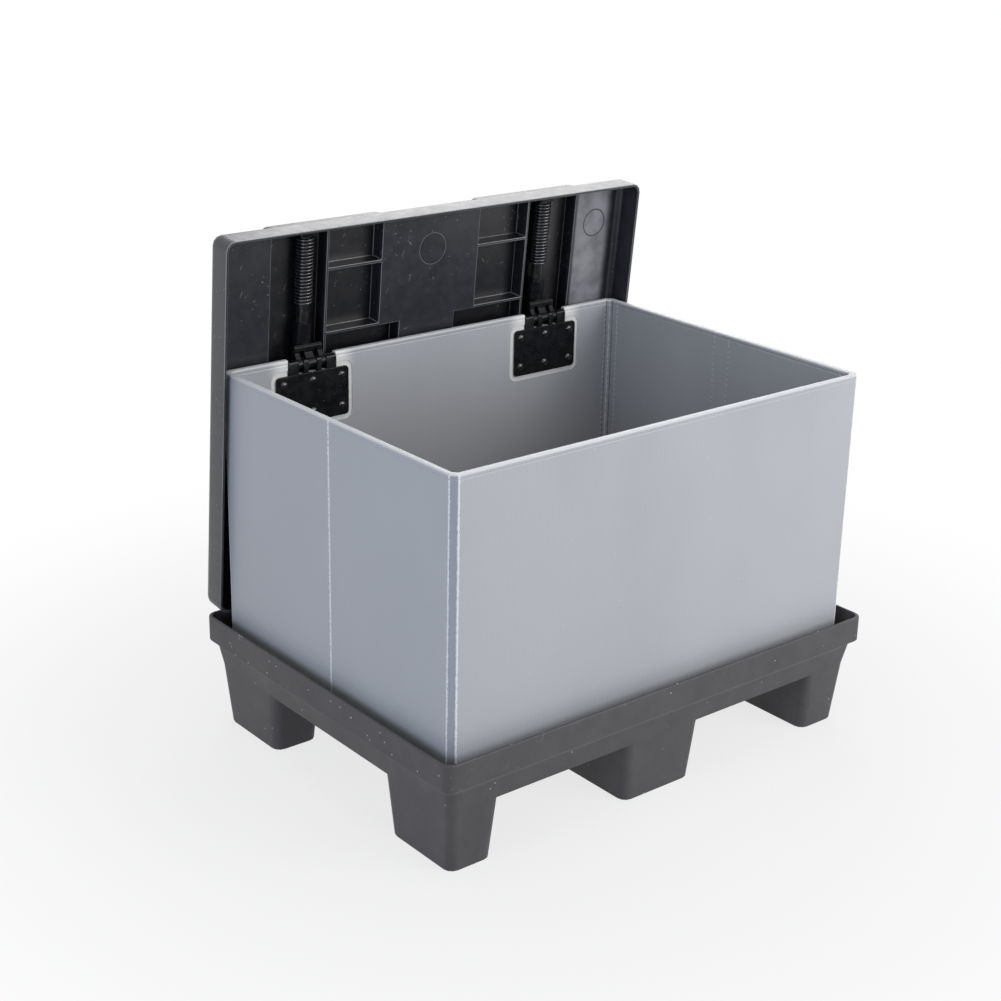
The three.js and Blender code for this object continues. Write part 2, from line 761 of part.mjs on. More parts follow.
// Rod blocks: a bored block on two screwed flanges, against the boss's floor
function makeRodBlock(side, end, x) {
  const top = bossFloor - guideGap;
  const flange = top - flangeThickness;
  const profile = points2([
    [-flangeReach, flange],
    [-blockHalfWidth, flange],
    [-blockHalfWidth, blockLow + 2],
    [2 - blockHalfWidth, blockLow],
    [blockHalfWidth - 2, blockLow],
    [blockHalfWidth, blockLow + 2],
    [blockHalfWidth, flange],
    [flangeReach, flange],
    [flangeReach, top],
    [-flangeReach, top],
  ]);
  const start = blockStarts[end];
  const middle = [0, -start - blockLength / 2, rodHeight];
  const bore = cylinder(rodRadius + rodGap, 2 * blockLength, rodSides, "y", middle);
  const body = extrudeAlongY(profile, -start - blockLength, -start)
    .subtract(bore)
    .subtract(screwHoles(0, end, flange - 1, top + 1, screwRadius + seatGap));
  const block = part(`rod_block_${end}_${side}`, geometryOf(body), plastic(0x1c1d20, 0.45));
  block.position.x = x;
  return block;
}

function screwGeometry() {
  const tip = flangeThickness + guideGap + screwGrip;
  return new THREE.LatheGeometry(points2([
    [0, -screwHeadHeight],
    [screwHeadRadius * 0.6, -screwHeadHeight],
    [screwHeadRadius, -screwHeadHeight * 0.4],
    [screwHeadRadius, -seatGap],
    [screwRadius, -seatGap],
    [screwRadius, tip],
    [0, tip],
  ]), screwSides);
}

function makeScrews(side, end, x) {
  return screwPlaces(end).map(([dx, y], i) => {
    const screw = part(`screw_${end}_${side}_${i + 1}`, screwGeometry(), steel(0x77787c, 0.4));
    screw.rotation.x = Math.PI / 2;
    screw.position.set(x + dx, y, bossFloor - guideGap - flangeThickness);
    return screw;
  });
}

function makeRod(side, x) {
  const from = bossInside + guideGap;
  const to = lidDepth - bossInside - guideGap;
  const rod = new THREE.CylinderGeometry(rodRadius, rodRadius, to - from, rodSides);
  rod.translate(0, -(from + to) / 2, rodHeight);
  const mesh = part(`guide_rod_${side}`, rod, steel(0x26272a, 0.35));
  mesh.position.x = x;
  return mesh;
}

// Spring: a wire along a helix round the rod, pushed against the front block
class Helix extends THREE.Curve {
  getPoint(t, target = new THREE.Vector3()) {
    const turn = (t * springLength * 2 * Math.PI) / springPitch;
    return target.set(
      springRadius * Math.cos(turn),
      -t * springLength,
      springRadius * Math.sin(turn),
    );
  }
}

function makeSpring(side, x) {
  const wire = Array.from({ length: wireSides }, (_, i) => {
    const turn = (i * 2 * Math.PI) / wireSides;
    return [wireRadius * Math.cos(turn), wireRadius * Math.sin(turn)];
  });
  const geometry = new THREE.ExtrudeGeometry(new THREE.Shape(points2(wire)), {
    steps: Math.round((springLength / springPitch) * coilSteps),
    bevelEnabled: false,
    extrudePath: new Helix(),
  });
  const spring = part(`spring_${side}`, geometry, steel(0x3a3b40, 0.3));
  spring.position.set(x, springLength - frontBlock + wireRadius + guideGap, rodHeight);
  return spring;
}

// Assembly: the carriage turns on the pins, and the lid slides on the carriage
const sides = [["left", -rodX], ["right", rodX]];
const foldingPalletBox = new THREE.Group();
foldingPalletBox.add(makePallet(), makeSleeve());
foldingPalletBox.add(...sides.map(([side, x]) => makeHinge(side, x)));

const carriage = new THREE.Group();
carriage.position.set(0, pinY, pinZ);
carriage.rotation.x = THREE.MathUtils.degToRad(-openAngle);
for (const [side, x] of sides) {
  const slider = makeSlider(side);
  slider.position.x = x;
  carriage.add(slider);
}
foldingPalletBox.add(carriage);

const lidAssembly = new THREE.Group();
lidAssembly.position.set(0, rearOverhang + lidTravel, -pinHeight);
lidAssembly.add(makeLid());
for (const [side, x] of sides) {
  lidAssembly.add(makeRod(side, x), makeSpring(side, x));
  for (const end of ["rear", "front"]) {
    lidAssembly.add(makeRodBlock(side, end, x), ...makeScrews(side, end, x));
  }
}
carriage.add(lidAssembly);

// The origin lies on the ground under the middle of the open box
const extent = new THREE.Box3().setFromObject(foldingPalletBox);
foldingPalletBox.position.y = -(extent.min.y + extent.max.y) / 2;

export default foldingPalletBox;
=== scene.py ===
# %% [markdown]
# A folding pallet box, dressed for its picture.
# The box is a moulded pallet, a welded sleeve of twin-wall board, and a moulded lid that hangs open behind.
# The measured solids come in first as a fixed frame. Every piece below is laid on them, in the same
# place.

# %% Load the measured solids
import json
import math

import bpy
from mathutils import Matrix, Vector


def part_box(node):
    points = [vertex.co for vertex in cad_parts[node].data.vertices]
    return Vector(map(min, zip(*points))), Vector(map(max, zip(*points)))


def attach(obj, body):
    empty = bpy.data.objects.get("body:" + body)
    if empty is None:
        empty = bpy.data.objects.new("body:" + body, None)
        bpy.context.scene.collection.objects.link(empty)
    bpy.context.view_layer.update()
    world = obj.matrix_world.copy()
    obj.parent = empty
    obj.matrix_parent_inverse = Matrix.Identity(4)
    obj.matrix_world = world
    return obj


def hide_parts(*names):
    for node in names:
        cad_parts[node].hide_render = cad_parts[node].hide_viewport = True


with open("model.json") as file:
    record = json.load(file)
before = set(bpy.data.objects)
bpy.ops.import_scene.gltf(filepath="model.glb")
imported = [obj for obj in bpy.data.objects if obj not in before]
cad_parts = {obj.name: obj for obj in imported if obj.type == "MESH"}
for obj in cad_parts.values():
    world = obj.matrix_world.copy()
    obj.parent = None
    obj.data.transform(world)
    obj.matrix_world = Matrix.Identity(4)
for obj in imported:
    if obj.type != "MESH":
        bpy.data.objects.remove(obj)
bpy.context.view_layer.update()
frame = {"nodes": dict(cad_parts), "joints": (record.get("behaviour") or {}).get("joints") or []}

# %% [markdown]
# Many places on this box follow from a few of the solids, so they are measured once.
# The lid leans back a little from upright. The direction in which it slides along its rods is also the
# direction up its panel, so that joint gives the lean, and the hinge pins give the lid's lower edge.
# The sleeve is a ring of board, known by half its length and width on the outside and on the inside.

# %% Places that the pieces share
MM = 0.001
joints = {joint["name"]: joint for joint in frame["joints"]}
pin_centre = Vector(joints["lid_turn"]["pos_m"])
lid_up = Vector(joints["lid_slide"]["axis"]).normalized()
lid_out = Vector((0, lid_up.z, -lid_up.y))
lean = math.atan2(-lid_up.y, lid_up.z)
PIN_TO_REAR_EDGE = 368.6 * MM
PIN_ABOVE_SKIRT = 26.1 * MM
lid_corner = pin_centre - PIN_TO_REAR_EDGE * lid_up - PIN_ABOVE_SKIRT * lid_out
BOARD = 10.0 * MM
sleeve_low, sleeve_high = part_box("sleeve")
half_x = sleeve_high.x
half_y = (sleeve_high.y - sleeve_low.y) / 2
inner_x = half_x - BOARD
inner_y = half_y - BOARD
pallet_low, pallet_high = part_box("pallet")
middle_y = (pallet_low.y + pallet_high.y) / 2
hinge_x = {side: sum(c.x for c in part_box(f"hinge_plate_{side}")) / 2 for side in ("left", "right")}
print("lean of the lid:", round(math.degrees(lean), 2), "degrees; hinges at x", hinge_x)

# %% [markdown]
# The camera stands where the photographer stood: to the front left, a little above, and turned by a
# degree about its own axis. Its place is an angle round the box, an angle above the floor and a distance.
# The lens follows from how large the box is in the frame.

# %% Camera
AZIMUTH = math.radians(-39.442)
ELEVATION = math.radians(20.603)
ROLL = math.radians(1.226)
DISTANCE = 2.6875
FOCAL_PIXELS = 1846.77
PICTURE_PIXELS = 1001
SENSOR_MM = 36
aim = Vector((-0.07603, middle_y, 0.37666))


def camera_axes():
    back = Vector((
        math.sin(AZIMUTH) * math.cos(ELEVATION),
        -math.cos(AZIMUTH) * math.cos(ELEVATION),
        math.sin(ELEVATION),
    ))
    level = Vector((0, 0, 1)).cross(back).normalized()
    upright = back.cross(level)
    right = math.cos(ROLL) * level + math.sin(ROLL) * upright
    above = -math.sin(ROLL) * level + math.cos(ROLL) * upright
    return right, above, back


bpy.ops.object.select_all(action="DESELECT")
bpy.ops.object.camera_add()
camera = bpy.context.object
camera.name = "camera"
right, above, back = camera_axes()
turn = Matrix((right, above, back)).transposed().to_4x4()
camera.matrix_world = Matrix.Translation(aim + DISTANCE * back) @ turn
camera.data.sensor_width = SENSOR_MM
camera.data.lens = FOCAL_PIXELS / PICTURE_PIXELS * SENSOR_MM
camera.data.clip_start = 0.05
bpy.context.scene.camera = camera
print("camera at", [round(v, 3) for v in camera.location], "lens", round(camera.data.lens, 1), "mm")

# %% [markdown]
# The floor and the backdrop are one pale sheet. Far from the box the picture should fade to white, but
# close to it the floor must keep the soft shadow. So the floor is a matt white surface, and a round mask
# on its own coordinates hands over to plain white further out, for the eye and for reflections.

# %% Floor and world
WHITE = (1, 1, 1, 1)


def add_node(tree, kind, **settings):
    made = tree.nodes.new(kind)
    for key, value in settings.items():
        setattr(made, key, value)
    return made


def connect(tree, source, target):
    tree.links.new(source, target)


def seen_directly(tree):
    """One where the eye or a reflection looks, zero where light is gathered."""
    path = add_node(tree, "ShaderNodeLightPath")
    total = path.outputs["Is Camera Ray"]
    for name in ("Is Glossy Ray", "Is Transmission Ray"):
        both = add_node(tree, "ShaderNodeMath", operation="MAXIMUM")
        connect(tree, total, both.inputs[0])
        connect(tree, path.outputs[name], both.inputs[1])
        total = both.outputs[0]
    return total


def mapped(tree, value, low, high, to_low=0.0, to_high=1.0):
    """A value brought from one range to another, held at both ends."""
    ramp = add_node(tree, "ShaderNodeMapRange")
    ramp.interpolation_type = "SMOOTHSTEP"
    for name, number in (("From Min", low), ("From Max", high), ("To Min", to_low), ("To Max", to_high)):
        ramp.inputs[name].default_value = number
    connect(tree, value, ramp.inputs["Value"])
    return ramp.outputs["Result"]


def make_floor():
    bpy.ops.mesh.primitive_plane_add(size=24, location=(0, middle_y, -0.5 * MM))
    floor = bpy.context.object
    floor.name = "floor"
    material = bpy.data.materials.new("pale_floor")
    material.use_nodes = True
    tree = material.node_tree
    shader = tree.nodes["Principled BSDF"]
    shader.inputs["Base Color"].default_value = (0.60, 0.60, 0.61, 1)
    shader.inputs["Roughness"].default_value = 0.9
    shader.inputs["Specular IOR Level"].default_value = 0.1
    glow = add_node(tree, "ShaderNodeEmission")
    glow.inputs["Color"].default_value = WHITE
    position = add_node(tree, "ShaderNodeTexCoord")
    reach = add_node(tree, "ShaderNodeVectorMath", operation="LENGTH")
    connect(tree, position.outputs["Object"], reach.inputs[0])
    share = add_node(tree, "ShaderNodeMath", operation="MULTIPLY")
    connect(tree, mapped(tree, reach.outputs["Value"], 0.5, 1.3, 0.77, 1.0), share.inputs[0])
    connect(tree, seen_directly(tree), share.inputs[1])
    mix = add_node(tree, "ShaderNodeMixShader")
    connect(tree, share.outputs[0], mix.inputs["Fac"])
    connect(tree, shader.outputs[0], mix.inputs[1])
    connect(tree, glow.outputs[0], mix.inputs[2])
    connect(tree, mix.outputs[0], tree.nodes["Material Output"].inputs["Surface"])
    floor.data.materials.append(material)
    return floor


def make_world():
    world = bpy.data.worlds.new("studio")
    bpy.context.scene.world = world
    world.use_nodes = True
    tree = world.node_tree
    background = tree.nodes["Background"]
    background.inputs["Color"].default_value = WHITE
    strength = mapped(tree, seen_directly(tree), 0, 1, 0.33, 1.0)
    connect(tree, strength, background.inputs["Strength"])
    return world


bpy.context.scene.view_settings.view_transform = "Standard"
make_floor()
make_world()
print("floor and world are in place")

# %% [markdown]
# The light is soft and comes from above and from the front, as in a product studio: one large panel
# overhead, one in front to the right, which makes the long front wall the brightest, and a weak, cooler
# one from the left. A panel behind the box skims over its upright edges and makes them bright.
# Large panels give soft shadows and the broad sheen that shows on moulded plastic.

# %% Lamps
NEUTRAL = (1.0, 1.0, 1.0)
COOL = (0.70, 0.82, 1.0)


def soft_panel(name, place, size, power, colour=NEUTRAL):
    bpy.ops.object.light_add(type="AREA", location=place)
    panel = bpy.context.object
    panel.name = name
    panel.data.shape = "SQUARE"
    panel.data.size = size
    panel.data.energy = power
    panel.data.color = colour
    panel.rotation_mode = "QUATERNION"
    panel.rotation_quaternion = (Vector(place) - Vector((0, middle_y, 0.35))).to_track_quat("Z", "Y")
    return panel


soft_panel("overhead_panel", (0.0, 0.1, 2.9), 2.2, 32)
soft_panel("front_panel", (1.6, -2.9, 1.5), 2.0, 72)
soft_panel("left_panel", (-3.2, -1.0, 0.8), 1.4, 32, COOL)
soft_panel("back_panel", (1.9, 2.2, 2.0), 1.8, 27)

# %% [markdown]
# Effects that several finishes share are made once as node groups, and each finish sets its own values.
# A mottle is slow change of tone, as moulded plastic has where it cooled unevenly.
# Specks are small pale grains, as recycled plastic has. Scratches are a noise stretched far along one way.

# %% Node groups for the finishes


def new_group(name, inputs, outputs):
    """An empty group with named sockets, and its input and output nodes."""
    group = bpy.data.node_groups.new(name, "ShaderNodeTree")
    kinds = {"value": "NodeSocketFloat", "vector": "NodeSocketVector"}
    for socket, kind, default in inputs:
        made = group.interface.new_socket(socket, in_out="INPUT", socket_type=kinds[kind])
        if kind == "value":
            made.default_value = default
    for socket in outputs:
        group.interface.new_socket(socket, in_out="OUTPUT", socket_type=kinds["value"])
    return group, add_node(group, "NodeGroupInput"), add_node(group, "NodeGroupOutput")


def make_mottle_group():
    """Slow change of tone, from zero to one."""
    group, given, result = new_group(
        "mottle", [("Place", "vector", 0), ("Scale", "value", 8.0), ("Contrast", "value", 0.2)], ["Mask"],
    )
    noise = add_node(group, "ShaderNodeTexNoise")
    noise.inputs["Detail"].default_value = 4
    noise.inputs["Roughness"].default_value = 0.6
    connect(group, given.outputs["Place"], noise.inputs["Vector"])
    connect(group, given.outputs["Scale"], noise.inputs["Scale"])
    low = add_node(group, "ShaderNodeMath", operation="SUBTRACT")
    low.inputs[0].default_value = 0.5
    connect(group, given.outputs["Contrast"], low.inputs[1])
    high = add_node(group, "ShaderNodeMath", operation="ADD")
    high.inputs[0].default_value = 0.5
    connect(group, given.outputs["Contrast"], high.inputs[1])
    ramp = add_node(group, "ShaderNodeMapRange")
    connect(group, noise.outputs["Fac"], ramp.inputs["Value"])
    connect(group, low.outputs[0], ramp.inputs["From Min"])
    connect(group, high.outputs[0], ramp.inputs["From Max"])
    connect(group, ramp.outputs["Result"], result.inputs["Mask"])
    return group


def make_speck_group():
    """Small round grains: the few cells of a Voronoi pattern whose own random number is high."""
    group, given, result = new_group(
        "specks",
        [
            ("Place", "vector", 0), ("Scale", "value", 200.0),
            ("Size", "value", 0.2), ("Share", "value", 0.1),
        ],
        ["Mask"],
    )
    cells = add_node(group, "ShaderNodeTexVoronoi")
    connect(group, given.outputs["Place"], cells.inputs["Vector"])
    connect(group, given.outputs["Scale"], cells.inputs["Scale"])
    near = add_node(group, "ShaderNodeMath", operation="LESS_THAN")
    connect(group, cells.outputs["Distance"], near.inputs[0])
    connect(group, given.outputs["Size"], near.inputs[1])
    chosen = add_node(group, "ShaderNodeSeparateColor")
    connect(group, cells.outputs["Color"], chosen.inputs[0])
    rare = add_node(group, "ShaderNodeMath", operation="LESS_THAN")
    connect(group, chosen.outputs[0], rare.inputs[0])
    connect(group, given.outputs["Share"], rare.inputs[1])
    both = add_node(group, "ShaderNodeMath", operation="MULTIPLY")
    connect(group, near.outputs[0], both.inputs[0])
    connect(group, rare.outputs[0], both.inputs[1])
    connect(group, both.outputs[0], result.inputs["Mask"])
    return group


def make_scratch_group():
    """Fine scratches and scuffs in three directions, broken up by a slower noise."""
    group, given, result = new_group(
        "scratches", [("Place", "vector", 0), ("Scale", "value", 30.0), ("Share", "value", 0.1)], ["Mask"],
    )
    total = None
    for number, (turn, stretch) in enumerate(((25, 22.0), (-40, 16.0), (80, 28.0))):
        mapping = add_node(group, "ShaderNodeMapping")
        mapping.inputs["Rotation"].default_value = (0.3 * number, math.radians(turn), 0.2)
        mapping.vector_type = "TEXTURE"
        mapping.inputs["Scale"].default_value = (1.0, 1.0, stretch)
        mapping.inputs["Location"].default_value = (3.1 * number, 1.7 * number, 0)
        connect(group, given.outputs["Place"], mapping.inputs["Vector"])
        noise = add_node(group, "ShaderNodeTexNoise")
        noise.inputs["Detail"].default_value = 2
        connect(group, mapping.outputs[0], noise.inputs["Vector"])
        connect(group, given.outputs["Scale"], noise.inputs["Scale"])
        line = mapped(group, noise.outputs["Fac"], 0.70, 0.76)
        if total is None:
            total = line
        else:
            both = add_node(group, "ShaderNodeMath", operation="MAXIMUM")
            connect(group, total, both.inputs[0])
            connect(group, line, both.inputs[1])
            total = both.outputs[0]
    patches = add_node(group, "ShaderNodeTexNoise")
    patches.inputs["Scale"].default_value = 9
    connect(group, given.outputs["Place"], patches.inputs["Vector"])
    broken = add_node(group, "ShaderNodeMath", operation="MULTIPLY")
    connect(group, total, broken.inputs[0])
    connect(group, mapped(group, patches.outputs["Fac"], 0.42, 0.62), broken.inputs[1])
    faded = add_node(group, "ShaderNodeMath", operation="MULTIPLY")
    connect(group, broken.outputs[0], faded.inputs[0])
    connect(group, given.outputs["Share"], faded.inputs[1])
    connect(group, faded.outputs[0], result.inputs["Mask"])
    return group


mottle_group = make_mottle_group()
speck_group = make_speck_group()
scratch_group = make_scratch_group()
print("node groups:", [g.name for g in bpy.data.node_groups])

# %% [markdown]
# Each finish is its own material. The Principled shader stays in the material, and the groups give it a
# colour, a roughness and a fine height. Two tones are mixed by each mask, because a real surface is never
# one flat colour: it has a base tone, a tone where it is worn, and small marks on top.

# %% Helpers for materials


def new_finish(name, roughness, specular=0.5, metallic=0.0):
    material = bpy.data.materials.new(name)
    material.use_nodes = True
    shader = material.node_tree.nodes["Principled BSDF"]
    shader.inputs["Roughness"].default_value = roughness
    shader.inputs["Specular IOR Level"].default_value = specular
    shader.inputs["Metallic"].default_value = metallic
    return material, material.node_tree, shader


def object_place(tree):
    return add_node(tree, "ShaderNodeTexCoord").outputs["Object"]


def grouped(tree, group, place, **values):
    """The mask of a node group, with its values set."""
    made = add_node(tree, "ShaderNodeGroup", node_tree=group)
    connect(tree, place, made.inputs["Place"])
    for name, value in values.items():
        made.inputs[name].default_value = value
    return made.outputs["Mask"]


def two_tones(tree, mask, low, high):
    """A colour between two tones. Either may be a colour or a socket."""
    mix = add_node(tree, "ShaderNodeMix", data_type="RGBA")
    connect(tree, mask, mix.inputs["Factor"])
    for socket, tone in ((mix.inputs[6], low), (mix.inputs[7], high)):
        if isinstance(tone, bpy.types.NodeSocket):
            connect(tree, tone, socket)
        else:
            socket.default_value = (*tone, 1)
    return mix.outputs[2]


def layered(tree, tone, mask, share, over):
    """A tone with another laid over it where a mask says so, at most as strongly as its share."""
    return two_tones(tree, calculated(tree, "MULTIPLY", mask, share), tone, over)


def bumped(tree, shader, height, distance, strength=1.0, after=None):
    """Gives the shader's normal a fine height, on top of an earlier one if there is one."""
    bump = add_node(tree, "ShaderNodeBump")
    bump.inputs["Strength"].default_value = strength
    bump.inputs["Distance"].default_value = distance
    connect(tree, height, bump.inputs["Height"])
    if after is not None:
        connect(tree, after, bump.inputs["Normal"])
    connect(tree, bump.outputs[0], shader.inputs["Normal"])
    return bump.outputs[0]


def noise_at(tree, place, scale, detail=3.0, stretch=(1, 1, 1)):
    mapping = add_node(tree, "ShaderNodeMapping")
    mapping.inputs["Scale"].default_value = stretch
    connect(tree, place, mapping.inputs["Vector"])
    noise = add_node(tree, "ShaderNodeTexNoise")
    noise.inputs["Scale"].default_value = scale
    noise.inputs["Detail"].default_value = detail
    connect(tree, mapping.outputs[0], noise.inputs["Vector"])
    return noise.outputs["Fac"]


def calculated(tree, operation, first, second):
    """One step of arithmetic between sockets or numbers."""
    made = add_node(tree, "ShaderNodeMath", operation=operation)
    for socket, value in ((made.inputs[0], first), (made.inputs[1], second)):
        if isinstance(value, bpy.types.NodeSocket):
            connect(tree, value, socket)
        else:
            socket.default_value = value
    return made.outputs[0]


def between(tree, value, rise, fall):
    """One in the middle of a range: it grows over the first pair of numbers and falls over the second."""
    return calculated(tree, "MULTIPLY", mapped(tree, value, *rise), mapped(tree, value, *fall, 1.0, 0.0))


# %% [markdown]
# The pallet is moulded from recycled plastic: a warm dark grey with soft flow marks down its faces and a
# few pale grains. Its surface is matt, with a very fine orange-peel texture that breaks up the light.
# The hollow line under the rim's band is painted paler: partly a painted highlight, where its ledge catches
# light from below, and partly wear, where hands and straps run along it.

# %% Pallet plastic
COVE_LOW = 129 * MM


def make_pallet_plastic():
    material, tree, shader = new_finish("pallet_plastic", 0.55, 0.42)
    place = object_place(tree)
    flow = noise_at(tree, place, 14, 4, (1, 1, 0.3))
    tone = two_tones(tree, mapped(tree, flow, 0.3, 0.7), (0.049, 0.046, 0.050), (0.066, 0.063, 0.067))
    worn = grouped(tree, mottle_group, place, Scale=26.0, Contrast=0.16)
    tone = layered(tree, tone, worn, 0.45, (0.090, 0.086, 0.090))
    parts = add_node(tree, "ShaderNodeSeparateXYZ")
    connect(tree, place, parts.inputs[0])
    # Painted highlight and wear along the cove under the rim's band.
    rise = (COVE_LOW - 5 * MM, COVE_LOW + 3 * MM)
    fall = (COVE_LOW + 4 * MM, COVE_LOW + 6 * MM)
    cove_highlight_and_wear = between(tree, parts.outputs["Z"], rise, fall)
    tone = layered(tree, tone, cove_highlight_and_wear, 0.55, (0.21, 0.20, 0.21))
    grains = grouped(tree, speck_group, place, Scale=150.0, Size=0.16, Share=0.035)
    tone = layered(tree, tone, grains, 0.75, (0.62, 0.62, 0.62))
    scratches = grouped(tree, scratch_group, place, Scale=120.0, Share=0.25)
    tone = two_tones(tree, scratches, tone, (0.24, 0.23, 0.24))
    connect(tree, tone, shader.inputs["Base Color"])
    connect(tree, mapped(tree, flow, 0.25, 0.75, 0.47, 0.62), shader.inputs["Roughness"])
    skin = noise_at(tree, place, 420, 2)
    waves = noise_at(tree, place, 24, 3)
    fine = bumped(tree, shader, skin, 0.10 * MM, 0.5)
    bumped(tree, shader, waves, 1.2 * MM, 0.35, fine)
    return material


pallet_plastic = make_pallet_plastic()
print("made", pallet_plastic.name)

# %% [markdown]
# The sleeve is light grey twin-wall board: two smooth skins with fine upright ribs between them, which
# show as faint lines. Where the board is folded, the plastic turns white, so a narrow band along each
# crease is painted pale. The bands are found by the distance in plan from the crease, and a noise frays
# them. Inside, a pale frame is pressed into the board round each hinge plate.

# %% Sleeve board
CREASE_LEG = 8.9 * MM
PLATE_HEIGHT = 76 * MM
FRAME_CORNER = 6 * MM
FLUTE_PITCH = 5.0 * MM
FOLD_BEAD = 15.6 * MM
LONG_SIDE_BEAD = 8 * MM
SHORT_SIDE_BEAD = 21 * MM
STITCH_TURN = 700.0  # radians of the stitches' wave for each metre of height


def upright_band(tree, folded, x, y, half_width, fray):
    """A frayed upright band at one place of the folded plan, where both x and y count from the middle."""
    apart = add_node(tree, "ShaderNodeVectorMath", operation="SUBTRACT")
    connect(tree, folded, apart.inputs[0])
    apart.inputs[1].default_value = (x, y, 0)
    flat = add_node(tree, "ShaderNodeVectorMath", operation="MULTIPLY")
    connect(tree, apart.outputs[0], flat.inputs[0])
    flat.inputs[1].default_value = (1, 1, 0)
    reach = add_node(tree, "ShaderNodeVectorMath", operation="LENGTH")
    connect(tree, flat.outputs[0], reach.inputs[0])
    frayed = calculated(tree, "ADD", reach.outputs["Value"], fray)
    return mapped(tree, frayed, half_width * 0.55, half_width * 1.25, 1.0, 0.0)


def painted_bands(tree, folded, lines, fray):
    """One mask for several bands, each given by its x, its y and half its width."""
    total = None
    for x, y, half_width in lines:
        band = upright_band(tree, folded, x, y, half_width, fray)
        total = band if total is None else calculated(tree, "MAXIMUM", total, band)
    return total


def pressed_frame(tree, plan, parts, fray):
    """The pale frame round each hinge plate, and the pale patches beside its notch."""
    plate_low, plate_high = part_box("hinge_plate_right")
    half_length = (plate_high.x - plate_low.x) / 2
    half_height = PLATE_HEIGHT / 2
    foot = plate_low.z
    notch_floor = foot + PLATE_HEIGHT
    from_hinge = calculated(tree, "SUBTRACT", plan.outputs["X"], hinge_x["right"])
    from_middle = calculated(tree, "SUBTRACT", parts.outputs["Z"], foot + half_height)
    across = calculated(tree, "ABSOLUTE", from_hinge, 0)
    upward = calculated(tree, "ABSOLUTE", from_middle, 0)
    past_side = calculated(tree, "SUBTRACT", across, half_length - FRAME_CORNER)
    past_top = calculated(tree, "SUBTRACT", upward, half_height - FRAME_CORNER)
    over_side = calculated(tree, "MAXIMUM", past_side, 0)
    over_top = calculated(tree, "MAXIMUM", past_top, 0)
    squares = calculated(
        tree, "ADD", calculated(tree, "POWER", over_side, 2.0), calculated(tree, "POWER", over_top, 2.0),
    )
    outside = calculated(tree, "SUBTRACT", calculated(tree, "SQRT", squares, 0), FRAME_CORNER)
    outside = calculated(tree, "ADD", outside, calculated(tree, "MULTIPLY", fray, 0.5))
    band = mapped(tree, outside, 7.0 * MM, 9.0 * MM, 1.0, 0.0)
    beside = calculated(
        tree, "MULTIPLY",
        mapped(tree, across, 50 * MM, 80 * MM, 1.0, 0.0),
        mapped(tree, parts.outputs["Z"], notch_floor - 2 * MM, notch_floor + 3 * MM),
    )
    both = calculated(tree, "MAXIMUM", band, beside)
    rise = (inner_y - 2 * MM, inner_y - 1 * MM)
    fall = (inner_y + 3 * MM, inner_y + 4 * MM)
    return calculated(tree, "MULTIPLY", both, between(tree, parts.outputs["Y"], rise, fall))


def fold_marks(tree, tone, folded, fray):
    """Painted shade as dark lines in the inner corners, and white lines along the creases."""
    # Painted shade: dark lines in the creases of the inner corners.
    corner_shade_lines = [(inner_x - 6 * MM, inner_y, 1.2 * MM), (inner_x, inner_y - 9 * MM, 1.4 * MM)]
    corner_shade = painted_bands(tree, folded, corner_shade_lines, fray)
    tone = layered(tree, tone, corner_shade, 0.7, (0.10, 0.11, 0.14))
    white_lines = [
        (half_x - CREASE_LEG, half_y, 1.6 * MM),
        (half_x, half_y - CREASE_LEG, 1.3 * MM),
        (half_x, 0.0, 1.9 * MM),
        (inner_x - 2 * MM, inner_y - 3.5 * MM, 1.0 * MM),
    ]
    white = painted_bands(tree, folded, white_lines, fray)
    return layered(tree, tone, white, 0.85, (0.84, 0.84, 0.87))


def weld_marks(tree, tone, folded, height, fray):
    """Stitched pale lines on the inside, under the weld beads."""
    wave = calculated(tree, "SINE", calculated(tree, "MULTIPLY", height, STITCH_TURN), 0)
    stitches = mapped(tree, wave, -0.5, 0.2)
    lines = [
        (inner_x, FOLD_BEAD, 1.7 * MM),
        (inner_x - LONG_SIDE_BEAD, inner_y, 1.6 * MM),
        (inner_x, inner_y - SHORT_SIDE_BEAD, 1.7 * MM),
    ]
    welded = calculated(tree, "MULTIPLY", painted_bands(tree, folded, lines, fray), stitches)
    return layered(tree, tone, welded, 0.6, (0.66, 0.67, 0.71))


